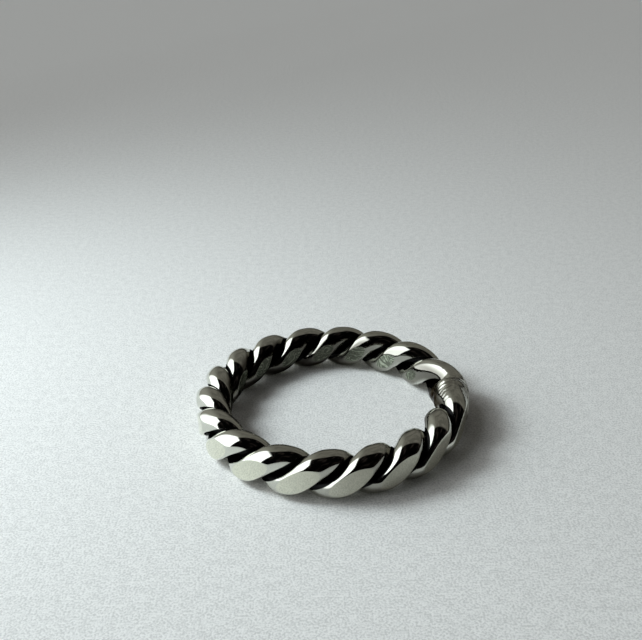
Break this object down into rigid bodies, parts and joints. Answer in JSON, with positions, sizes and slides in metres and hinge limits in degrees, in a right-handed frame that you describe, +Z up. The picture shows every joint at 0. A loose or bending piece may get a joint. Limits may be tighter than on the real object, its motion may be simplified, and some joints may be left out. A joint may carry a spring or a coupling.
{
  "type": "rope twist ring",
  "caption": "Finger ring whose band is a rope of twisted round silver wire, soldered closed at a seam and filed slightly flat inside and outside.",
  "frame": {"origin": "middle of the finger hole, on the plane that the ring lies on", "axes": "+Z up out of the finger hole, square to the plane that the ring lies on; +X from the ring's middle towards its soldered seam"},
  "size_m": [0.0231, 0.0226, 0.0039],
  "materials": {
    "silver": "polished sterling silver with fine scratches and dark grooves"
  },
  "bodies": {
    "root": {"twisted_band": "silver"}
  },
  "joints": []
}
